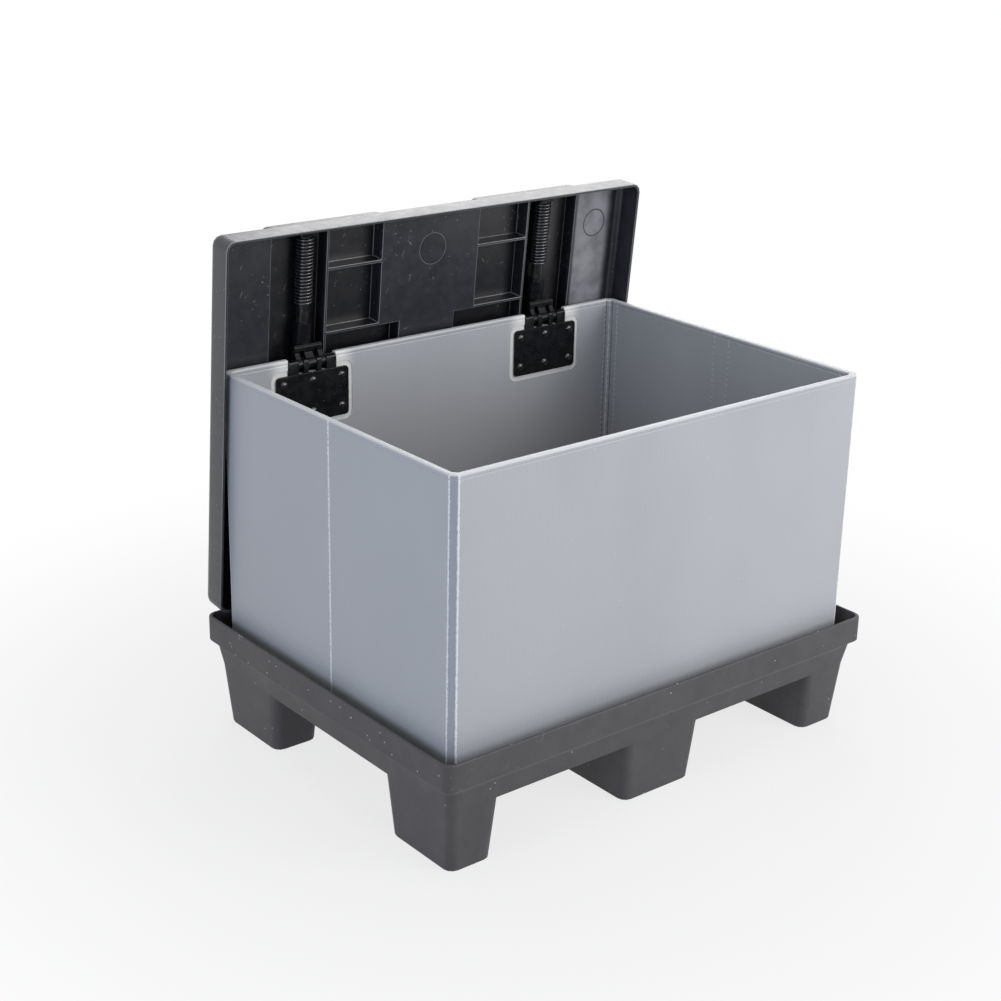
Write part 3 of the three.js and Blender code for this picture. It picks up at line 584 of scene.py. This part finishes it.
def make_sleeve_board():
    material, tree, shader = new_finish("sleeve_board", 0.42, 0.35)
    place = object_place(tree)
    cloud = noise_at(tree, place, 5, 2, (1, 1, 0.5))
    tone = two_tones(tree, mapped(tree, cloud, 0.3, 0.7), (0.405, 0.418, 0.446), (0.437, 0.450, 0.476))
    centred = add_node(tree, "ShaderNodeVectorMath", operation="SUBTRACT")
    centred.inputs[1].default_value = (0, middle_y, 0)
    connect(tree, place, centred.inputs[0])
    folded = add_node(tree, "ShaderNodeVectorMath", operation="ABSOLUTE")
    connect(tree, centred.outputs[0], folded.inputs[0])
    parts = add_node(tree, "ShaderNodeSeparateXYZ")
    connect(tree, centred.outputs[0], parts.inputs[0])
    along = calculated(tree, "ADD", parts.outputs["X"], parts.outputs["Y"])
    flutes = calculated(tree, "SINE", calculated(tree, "MULTIPLY", along, math.tau / FLUTE_PITCH), 0)
    tone = two_tones(tree, mapped(tree, flutes, -1, 1, 0, 0.12), tone, (0.52, 0.54, 0.58))
    jitter = noise_at(tree, place, 330, 2, (1, 1, 0.8))
    fray = calculated(tree, "MULTIPLY", calculated(tree, "SUBTRACT", jitter, 0.5), 3.0 * MM)
    plan = add_node(tree, "ShaderNodeSeparateXYZ")
    connect(tree, folded.outputs[0], plan.inputs[0])
    sum_of_both = calculated(tree, "ADD", plan.outputs["X"], plan.outputs["Y"])
    strip_start = half_x + half_y - CREASE_LEG
    strip = mapped(tree, sum_of_both, strip_start - 0.9 * MM, strip_start - 0.4 * MM)
    tone = layered(tree, tone, strip, 0.75, (0.30, 0.32, 0.37))
    tone = fold_marks(tree, tone, folded.outputs[0], fray)
    tone = weld_marks(tree, tone, folded.outputs[0], parts.outputs["Z"], fray)
    # A painted highlight along the board's top edge, where the light skims it.
    top_edge_highlight = mapped(tree, parts.outputs["Z"], sleeve_high.z - 3.2 * MM, sleeve_high.z - 1.6 * MM)
    tone = layered(tree, tone, top_edge_highlight, 0.55, (0.72, 0.73, 0.75))
    frame_mask = pressed_frame(tree, plan, parts, fray)
    tone = layered(tree, tone, frame_mask, 0.9, (0.84, 0.84, 0.82))
    dust = grouped(tree, speck_group, place, Scale=90.0, Size=0.10, Share=0.05)
    tone = layered(tree, tone, dust, 0.35, (0.80, 0.80, 0.82))
    connect(tree, tone, shader.inputs["Base Color"])
    connect(tree, mapped(tree, cloud, 0.3, 0.7, 0.36, 0.46), shader.inputs["Roughness"])
    ribbed = bumped(tree, shader, flutes, 0.05 * MM, 0.5)
    bumped(tree, shader, noise_at(tree, place, 9, 2, (1, 1, 0.4)), 1.5 * MM, 0.25, ribbed)
    return material


sleeve_board = make_sleeve_board()
print("made", sleeve_board.name)

# %% [markdown]
# The lid is a harder, darker plastic with a slight shine. Goods have scuffed its inside, so it has many short
# pale scratches, from the same group as the pallet's but stronger. Its pockets are painted darker than its
# panel, as painted shade in the recesses. One strip of the panel is painted paler in patches, as a painted
# reflection, its rounded edges are painted paler as partly wear and partly a painted highlight, and the mould
# left two round marks on the panel. Marks that belong to the inside are kept there by how deep a point lies
# in the lid.

# %% Lid plastic
PANEL_OUT = 42 * MM
BOSS_TOP_OUT = 70 * MM
REFLECTION_STRIP_FROM = 292 * MM
REFLECTION_STRIP_TO = 362 * MM
RING_PLACES = [(3, 509, 23), (332, 510, 22)]


def moulded_rings(tree, place, wider):
    """Thin round marks on the lid's panel, each given by its x, its height up the lid and its radius."""
    total = None
    for x, up, radius in RING_PLACES:
        centre = lid_corner + up * MM * lid_up + PANEL_OUT * lid_out
        apart = add_node(tree, "ShaderNodeVectorMath", operation="DISTANCE")
        connect(tree, place, apart.inputs[0])
        apart.inputs[1].default_value = (x * MM, centre.y, centre.z)
        off = calculated(tree, "SUBTRACT", apart.outputs["Value"], (radius + wider) * MM)
        ring = mapped(tree, calculated(tree, "ABSOLUTE", off, 0), 0.5 * MM, 1.2 * MM, 1.0, 0.0)
        total = ring if total is None else calculated(tree, "MAXIMUM", total, ring)
    return total


def lid_depth(tree, place):
    """How far a point of the lid lies out from the skirt's edge."""
    offset = add_node(tree, "ShaderNodeVectorMath", operation="SUBTRACT")
    connect(tree, place, offset.inputs[0])
    offset.inputs[1].default_value = lid_corner
    out = add_node(tree, "ShaderNodeVectorMath", operation="DOT_PRODUCT")
    connect(tree, offset.outputs[0], out.inputs[0])
    out.inputs[1].default_value = lid_out
    return out.outputs["Value"]


def make_lid_plastic():
    material, tree, shader = new_finish("lid_plastic", 0.38, 0.6)
    place = object_place(tree)
    cloud = noise_at(tree, place, 6, 3)
    tone = two_tones(tree, mapped(tree, cloud, 0.3, 0.7), (0.014, 0.015, 0.020), (0.019, 0.020, 0.027))
    worn = grouped(tree, mottle_group, place, Scale=60.0, Contrast=0.16)
    tone = layered(tree, tone, worn, 0.10, (0.075, 0.076, 0.088))
    rubbed = mapped(tree, noise_at(tree, place, 13, 6), 0.54, 0.70)
    tone = layered(tree, tone, rubbed, 0.10, (0.075, 0.076, 0.088))
    parts = add_node(tree, "ShaderNodeSeparateXYZ")
    connect(tree, place, parts.inputs[0])
    depth = lid_depth(tree, place)
    rise = (PANEL_OUT - 3 * MM, PANEL_OUT - 1 * MM)
    fall = (PANEL_OUT + 1 * MM, PANEL_OUT + 2 * MM)
    underside = between(tree, depth, rise, fall)
    # Painted shade in the pockets, which lie deeper than the panel.
    rise = (PANEL_OUT + 2 * MM, PANEL_OUT + 8 * MM)
    fall = (BOSS_TOP_OUT - 3 * MM, BOSS_TOP_OUT - 1 * MM)
    pocket_shade = between(tree, depth, rise, fall)
    tone = layered(tree, tone, pocket_shade, 0.75, (0.003, 0.003, 0.005))
    # A painted reflection: one strip of the panel painted paler in patches, where light would shine off it.
    rise = (REFLECTION_STRIP_FROM, REFLECTION_STRIP_FROM + 4 * MM)
    fall = (REFLECTION_STRIP_TO - 8 * MM, REFLECTION_STRIP_TO + 8 * MM)
    strip = calculated(tree, "MULTIPLY", between(tree, parts.outputs["X"], rise, fall), underside)
    patchy = mapped(tree, noise_at(tree, place, 30, 5), 0.25, 0.65, 0.45, 1.0)
    painted_reflection = calculated(tree, "MULTIPLY", strip, patchy)
    tone = layered(tree, tone, painted_reflection, 0.9, (0.27, 0.27, 0.30))
    scratches = grouped(tree, scratch_group, place, Scale=190.0, Share=0.55)
    tone = two_tones(tree, scratches, tone, (0.24, 0.24, 0.26))
    grains = grouped(tree, speck_group, place, Scale=170.0, Size=0.15, Share=0.05)
    tone = layered(tree, tone, grains, 0.5, (0.40, 0.40, 0.42))
    # The rounded edges are painted paler: partly rubbed wear, and partly a painted highlight along each edge.
    edge = add_node(tree, "ShaderNodeAttribute", attribute_name="rounded_edge")
    edge_strength = mapped(tree, cloud, 0.25, 0.6, 0.45, 0.9)
    edge_wear_and_highlight = calculated(tree, "MULTIPLY", edge.outputs["Fac"], edge_strength)
    tone = two_tones(tree, edge_wear_and_highlight, tone, (0.24, 0.24, 0.255))
    pale_rings = calculated(tree, "MULTIPLY", moulded_rings(tree, place, 1.6), underside)
    tone = layered(tree, tone, pale_rings, 0.6, (0.17, 0.17, 0.19))
    dark_rings = calculated(tree, "MULTIPLY", moulded_rings(tree, place, 0.0), underside)
    tone = two_tones(tree, dark_rings, tone, (0.003, 0.003, 0.004))
    connect(tree, tone, shader.inputs["Base Color"])
    connect(tree, mapped(tree, worn, 0, 1, 0.33, 0.38), shader.inputs["Roughness"])
    fine = bumped(tree, shader, noise_at(tree, place, 380, 2), 0.10 * MM, 0.4)
    bumped(tree, shader, noise_at(tree, place, 8, 2), 1.2 * MM, 0.15, fine)
    return material


lid_plastic = make_lid_plastic()
print("made", lid_plastic.name)

# %% [markdown]
# The hinge plates, sliders and rod blocks are black nylon with a satin surface. The rivets are the same
# black but smoother, so their domes catch a small bright crescent. The rods are black coated tube, the
# springs dark oiled wire, the screws blackened steel and the hinge pins bright steel.

# %% Hinge plastic, rod, spring and screw finishes


def make_dark_finish(name, tone, worn_tone, roughness, specular=0.5, metallic=0.0, grain=0.08 * MM):
    """A finish with worn spots and a fine skin, for the small pieces."""
    material, tree, shader = new_finish(name, roughness, specular, metallic)
    place = object_place(tree)
    worn = grouped(tree, mottle_group, place, Scale=90.0, Contrast=0.14)
    colour = layered(tree, tone, worn, 0.35, worn_tone)
    grains = grouped(tree, speck_group, place, Scale=260.0, Size=0.16, Share=0.05)
    colour = layered(tree, colour, grains, 0.5, (0.35, 0.35, 0.36))
    connect(tree, colour, shader.inputs["Base Color"])
    connect(tree, mapped(tree, worn, 0, 1, roughness - 0.06, roughness + 0.08), shader.inputs["Roughness"])
    bumped(tree, shader, noise_at(tree, place, 600, 2), grain, 0.5)
    return material


METAL_GRAIN = 0.03 * MM
hinge_plastic = make_dark_finish("hinge_plastic", (0.0045, 0.005, 0.0065), (0.012, 0.012, 0.015), 0.32, 0.22)
rivet_black = make_dark_finish("rivet_black", (0.008, 0.008, 0.010), (0.030, 0.030, 0.033), 0.16, 0.9)
rod_coating = make_dark_finish("rod_coating", (0.010, 0.010, 0.012), (0.022, 0.022, 0.024), 0.30)
spring_wire = make_dark_finish(
    "spring_wire", (0.10, 0.10, 0.11), (0.18, 0.18, 0.19), 0.26, metallic=0.8, grain=METAL_GRAIN,
)
screw_steel = make_dark_finish(
    "screw_steel", (0.08, 0.08, 0.09), (0.20, 0.20, 0.21), 0.32, metallic=0.9, grain=METAL_GRAIN,
)
pin_steel = make_dark_finish(
    "pin_steel", (0.42, 0.42, 0.44), (0.55, 0.55, 0.56), 0.34, metallic=1.0, grain=METAL_GRAIN,
)
print("materials:", [m.name for m in bpy.data.materials])

# %% [markdown]
# The moulded pieces keep the form of their solids, but a real moulding has no razor edges. A copy of each
# solid is merged, because its triangles are loose, and a Bevel modifier then rounds every sharp edge. The
# rounded edges catch the light as thin bright lines, and an attribute marks them, so that a finish can
# paint them paler: partly rubbed wear, and partly a painted highlight along the edge.

# %% Helpers that turn a solid into a finished moulding


def select_only(piece):
    bpy.ops.object.select_all(action="DESELECT")
    piece.select_set(True)
    bpy.context.view_layer.objects.active = piece


def apply_modifiers(piece):
    select_only(piece)
    for modifier in list(piece.modifiers):
        bpy.ops.object.modifier_apply(modifier=modifier.name)


def merged_copy(node, name):
    piece = bpy.data.objects.new(name, frame["nodes"][node].data.copy())
    bpy.context.scene.collection.objects.link(piece)
    piece.data.materials.clear()
    select_only(piece)
    bpy.ops.mesh.customdata_custom_splitnormals_clear()
    bpy.ops.object.mode_set(mode="EDIT")
    bpy.ops.mesh.select_all(action="SELECT")
    bpy.ops.mesh.remove_doubles(threshold=0.01 * MM)
    bpy.ops.object.mode_set(mode="OBJECT")
    return piece


def round_edges(piece, width, segments, sharper_than):
    """Rounds each edge that turns by more than an angle in degrees, and marks the new faces."""
    while len(piece.data.materials) < 2:
        piece.data.materials.append(None)
    bevel = piece.modifiers.new("rounded_edges", "BEVEL")
    bevel.width = width
    bevel.segments = segments
    bevel.limit_method = "ANGLE"
    bevel.angle_limit = math.radians(sharper_than)
    bevel.use_clamp_overlap = False
    bevel.material = 1
    apply_modifiers(piece)
    mark = piece.data.attributes.new("rounded_edge", "FLOAT", "FACE")
    for face, value in zip(piece.data.polygons, mark.data):
        value.value = face.material_index
        face.material_index = 0


def smooth(piece, up_to):
    select_only(piece)
    bpy.ops.object.shade_smooth_by_angle(angle=math.radians(up_to))
    shine = piece.modifiers.new("even_shading", "WEIGHTED_NORMAL")
    shine.keep_sharp = True
    apply_modifiers(piece)


def join_object(piece, body, slot, finish, *nodes):
    """Gives a finished piece its material and its body, and hides the solids that it stands for."""
    piece.data.materials.clear()
    piece.data.materials.append(finish)
    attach(piece, body)
    if nodes:
        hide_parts(*nodes)
    return piece


def moulding(node, body, slot, finish, width, segments=2, sharper_than=38):
    piece = merged_copy(node, f"{node}_moulding")
    round_edges(piece, width, segments, sharper_than)
    smooth(piece, sharper_than)
    join_object(piece, body, slot, finish, node)
    print(piece.name, "has", len(piece.data.polygons), "faces")
    return piece


# %% [markdown]
# The three large mouldings and the black pieces of the hinges are made in this way. The pallet has the
# roundest edges, because thick foamed plastic can't be moulded sharp, and the hinge pieces the finest.

# %% Pallet, sleeve and lid
moulding("pallet", "base", "pallet_plastic", pallet_plastic, 1.1 * MM)
moulding("sleeve", "base", "sleeve_board", sleeve_board, 0.5 * MM, 2, 28)
moulding("lid", "lid_body", "lid_plastic", lid_plastic, 0.9 * MM)

# %% Hinge plates, sliders and rod blocks
for side in ("left", "right"):
    moulding(f"hinge_plate_{side}", "base", "hinge_plastic", hinge_plastic, 0.5 * MM)
    moulding(f"backing_plate_{side}", "base", "hinge_plastic", hinge_plastic, 0.5 * MM)
    moulding(f"slider_{side}", "carriage", "hinge_plastic", hinge_plastic, 0.5 * MM)
    for end in ("rear", "front"):
        moulding(f"rod_block_{end}_{side}", "lid_body", "hinge_plastic", hinge_plastic, 0.5 * MM)

# %% [markdown]
# Round pieces come out better as new primitives than as copies of faceted solids. A rod is a cylinder with
# a small chamfer at each end. It is modelled upright at the origin, and then leaned and moved onto the lid.

# %% Guide rods


def middle_of(node):
    low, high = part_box(node)
    return (low + high) / 2


def on_lid(piece, x, up, out):
    """Leans a piece that was modelled upright at the origin, and puts it at a place on the lid."""
    place = lid_corner + up * lid_up + out * lid_out
    piece.matrix_world = Matrix.Translation((x, place.y, place.z)) @ Matrix.Rotation(lean, 4, "X")
    select_only(piece)
    bpy.ops.object.transform_apply(location=True, rotation=True, scale=True)
    return piece


def lid_coordinates(point):
    """How far a point lies up the lid's panel, and how far out from its skirt's edge."""
    offset = point - lid_corner
    return offset.dot(lid_up), offset.dot(lid_out)


ROD_RADIUS = 9.5 * MM
ROD_CHAMFER = 0.8 * MM
ROD_OUT = 51 * MM


def make_rod(side):
    low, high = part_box(f"guide_rod_{side}")
    centre = middle_of(f"guide_rod_{side}")
    length = (high.z - low.z - 2 * ROD_RADIUS * abs(lid_up.y)) / lid_up.z
    bpy.ops.object.select_all(action="DESELECT")
    bpy.ops.mesh.primitive_cylinder_add(vertices=48, radius=ROD_RADIUS, depth=length)
    rod = bpy.context.object
    rod.name = f"guide_rod_tube_{side}"
    round_edges(rod, ROD_CHAMFER, 2, 60)
    smooth(rod, 40)
    up, _ = lid_coordinates(centre)
    on_lid(rod, centre.x, up, ROD_OUT)
    return join_object(rod, "lid_body", "rod_steel", rod_coating, f"guide_rod_{side}")


for side in ("left", "right"):
    print(make_rod(side).name)

# %% [markdown]
# A spring is one wire wound round the rod. A small circle is the wire's section, and the Screw modifier
# sweeps it round the axis while it climbs one pitch each turn. The ends are closed afterwards.

# %% Springs
SPRING_RADIUS = 12 * MM
WIRE_RADIUS = 1.6 * MM
SPRING_PITCH = 5.0 * MM


def close_ends(piece):
    """Fills the open ends of a swept section."""
    bpy.ops.object.mode_set(mode="EDIT")
    bpy.ops.mesh.select_all(action="DESELECT")
    bpy.ops.mesh.select_non_manifold()
    bpy.ops.mesh.edge_face_add()
    bpy.ops.mesh.select_all(action="SELECT")
    bpy.ops.mesh.normals_make_consistent(inside=False)
    bpy.ops.object.mode_set(mode="OBJECT")


def make_spring(side):
    low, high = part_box(f"spring_{side}")
    centre = middle_of(f"spring_{side}")
    length = high.z - low.z - 2 * (SPRING_RADIUS + WIRE_RADIUS) * abs(lid_up.y)
    climb = length - 2 * WIRE_RADIUS
    turns = int(length / SPRING_PITCH)
    bpy.ops.object.select_all(action="DESELECT")
    bpy.ops.mesh.primitive_circle_add(
        vertices=8, radius=WIRE_RADIUS, location=(SPRING_RADIUS, 0, 0), rotation=(math.pi / 2, 0, 0),
    )
    spring = bpy.context.object
    spring.name = f"spring_wire_{side}"
    bpy.ops.object.transform_apply(location=True, rotation=True, scale=True)
    sweep = spring.modifiers.new("winding", "SCREW")
    sweep.axis = "Z"
    sweep.angle = math.tau
    sweep.screw_offset = climb / turns
    sweep.iterations = turns
    sweep.steps = 32
    sweep.render_steps = 32
    apply_modifiers(spring)
    close_ends(spring)
    smooth(spring, 60)
    spring.data.transform(Matrix.Translation((0, 0, -climb / 2)))
    up, _ = lid_coordinates(centre)
    on_lid(spring, centre.x, up, ROD_OUT)
    return join_object(spring, "lid_body", "spring_steel", spring_wire, f"spring_{side}")


for side in ("left", "right"):
    made = make_spring(side)
    print(made.name, "has", len(made.data.polygons), "faces")

# %% [markdown]
# A hinge pin is a steel rod that shows only between the knuckles. A cylinder with chamfered ends is enough.

# %% Hinge pins
PIN_RADIUS = 3 * MM
PIN_CHAMFER = 0.5 * MM


def make_pin(side):
    low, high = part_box(f"hinge_pin_{side}")
    centre = middle_of(f"hinge_pin_{side}")
    bpy.ops.object.select_all(action="DESELECT")
    bpy.ops.mesh.primitive_cylinder_add(
        vertices=32, radius=PIN_RADIUS, depth=high.x - low.x,
        location=(centre.x, pin_centre.y, pin_centre.z), rotation=(0, math.pi / 2, 0),
    )
    pin = bpy.context.object
    pin.name = f"hinge_pin_rod_{side}"
    bpy.ops.object.transform_apply(location=True, rotation=True, scale=True)
    round_edges(pin, PIN_CHAMFER, 2, 60)
    smooth(pin, 40)
    return join_object(pin, "base", "pin_steel", pin_steel, f"hinge_pin_{side}")


for side in ("left", "right"):
    print(make_pin(side).name)

# %% [markdown]
# A rivet has a low dome with a groove round its middle, where the mandrel broke off and left a small nub.
# Its half outline is a row of short edges that is extruded point by point, and the Screw modifier turns it
# once round. One rivet is modelled, and each of the others is a copy with its own mesh.

# %% Rivets
RIVET_SINK = 0.1 * MM
RIVET_OUTLINE = [
    (0.0, 4.3), (1.0, 4.2), (1.5, 3.6), (1.7, 2.0), (2.5, 1.9), (3.0, 2.6), (4.2, 2.3), (5.4, 1.5),
    (6.1, 0.4), (6.2, 0.1), (2.5, 0.1), (2.5, -15.6), (4.6, -15.6), (4.3, -16.3), (3.4, -16.6), (0.0, -16.6),
]


def turned(name, outline, steps=32):
    """A turned solid from its half outline: pairs of radius and height, in millimetres, along Z."""
    bpy.ops.object.select_all(action="DESELECT")
    bpy.ops.mesh.primitive_plane_add(size=1)
    piece = bpy.context.object
    piece.name = name
    bpy.ops.object.mode_set(mode="EDIT")
    bpy.ops.mesh.select_all(action="SELECT")
    bpy.ops.mesh.merge(type="CENTER")
    start = Vector((outline[0][0], 0, outline[0][1])) * MM
    bpy.ops.transform.translate(value=start)
    here = start
    for radius, height in outline[1:]:
        there = Vector((radius, 0, height)) * MM
        bpy.ops.mesh.extrude_vertices_move(TRANSFORM_OT_translate={"value": there - here})
        here = there
    bpy.ops.object.mode_set(mode="OBJECT")
    turn = piece.modifiers.new("turning", "SCREW")
    turn.axis = "Z"
    turn.steps = steps
    turn.render_steps = steps
    turn.use_merge_vertices = True
    turn.merge_threshold = 0.005 * MM
    apply_modifiers(piece)
    bpy.ops.object.mode_set(mode="EDIT")
    bpy.ops.mesh.select_all(action="SELECT")
    bpy.ops.mesh.remove_doubles(threshold=0.005 * MM)
    bpy.ops.mesh.normals_make_consistent(inside=False)
    bpy.ops.object.mode_set(mode="OBJECT")
    smooth(piece, 42)
    return piece


def placed_copy(pattern, name, matrix):
    piece = pattern.copy()
    piece.data = pattern.data.copy()
    piece.name = name
    bpy.context.scene.collection.objects.link(piece)
    piece.data.transform(matrix)
    return piece


rivet_pattern = turned("rivet_pattern", RIVET_OUTLINE)
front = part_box("hinge_plate_left")[0].y + RIVET_SINK
for side in ("left", "right"):
    for number in range(1, 7):
        node = f"rivet_{side}_{number}"
        centre = middle_of(node)
        face = Matrix.Translation((centre.x, front, centre.z)) @ Matrix.Rotation(math.pi / 2, 4, "X")
        rivet = placed_copy(rivet_pattern, f"{node}_domed", face)
        join_object(rivet, "base", "rivet_black", rivet_black, node)
bpy.data.objects.remove(rivet_pattern)

# %% [markdown]
# Two screws hold each rod block against the floor of the lid's channel. They have low round heads with a
# socket. They are turned like the rivets, and each copy is leaned as the lid is, with its head facing out.

# %% Screws
SCREW_OUTLINE = [
    (0.0, 1.0), (1.5, 1.0), (1.8, 3.0), (3.4, 2.8), (4.5, 2.0), (5.0, 0.8), (5.0, 0.1), (2.5, 0.1),
    (2.5, -9.8), (0.0, -9.8),
]
SCREW_SEAT = 59.2 * MM

screw_pattern = turned("screw_pattern", SCREW_OUTLINE, 24)
for side in ("left", "right"):
    for end in ("rear", "front"):
        for number in (1, 2):
            node = f"screw_{end}_{side}_{number}"
            centre = middle_of(node)
            up, _ = lid_coordinates(centre)
            place = lid_corner + up * lid_up + SCREW_SEAT * lid_out
            lying = Matrix.Rotation(math.pi / 2 + lean, 4, "X")
            face = Matrix.Translation((centre.x, place.y, place.z)) @ lying
            screw = placed_copy(screw_pattern, f"{node}_turned", face)
            join_object(screw, "lid_body", "screw_steel", screw_steel, node)
bpy.data.objects.remove(screw_pattern)

# %% [markdown]
# Where the board was joined and folded, a hot bar left upright beads on the sleeve's inside: two beside the
# fold of each short wall, and three in each corner. A bead is a thin round bar that swells at each stitch.
# It is turned from a wavy outline, and its axis lies in the wall's face, so that half of it shows.

# %% Weld beads inside the sleeve
BEAD_STITCH = 6.0
BEAD_THIN = 0.75
BEAD_THICK = 1.2
BEAD_ROUNDING = 0.6
MIDDLE_BEAD = 3 * MM
BEAD_LOW = sleeve_low.z + 8 * MM
BEAD_HIGH = sleeve_high.z - 9 * MM


def bead_outline():
    """Half the outline of a bead, in millimetres from its axis and from its foot."""
    stitches = int((BEAD_HIGH - BEAD_LOW) / MM / BEAD_STITCH)
    points = [(0.0, 0.0)]
    for number in range(stitches):
        foot = number * BEAD_STITCH
        points += [(BEAD_THIN, foot + BEAD_ROUNDING), (BEAD_THICK, foot + BEAD_STITCH / 2)]
    top = stitches * BEAD_STITCH
    return points + [(BEAD_THIN, top - BEAD_ROUNDING), (0.0, top)]


def add_bead(name, x, y):
    matrix = Matrix.Translation((x, middle_y + y, BEAD_LOW))
    bead = placed_copy(bead_pattern, name, matrix)
    return join_object(bead, "base", "sleeve_board", sleeve_board)


bead_pattern = turned("bead_pattern", bead_outline(), 8)
bead_places = {
    "fold_bead": (inner_x, FOLD_BEAD),
    "corner_bead_long": (inner_x - LONG_SIDE_BEAD, inner_y),
    "corner_bead_short": (inner_x, inner_y - SHORT_SIDE_BEAD),
    "corner_bead_middle": (inner_x - MIDDLE_BEAD, inner_y - MIDDLE_BEAD),
}
for name, x_side in (("left", -1), ("right", 1)):
    for where, y_side in (("front", -1), ("back", 1)):
        for bead, (x, y) in bead_places.items():
            add_bead(f"{bead}_{name}_{where}", x_side * x, y_side * y)
bpy.data.objects.remove(bead_pattern)
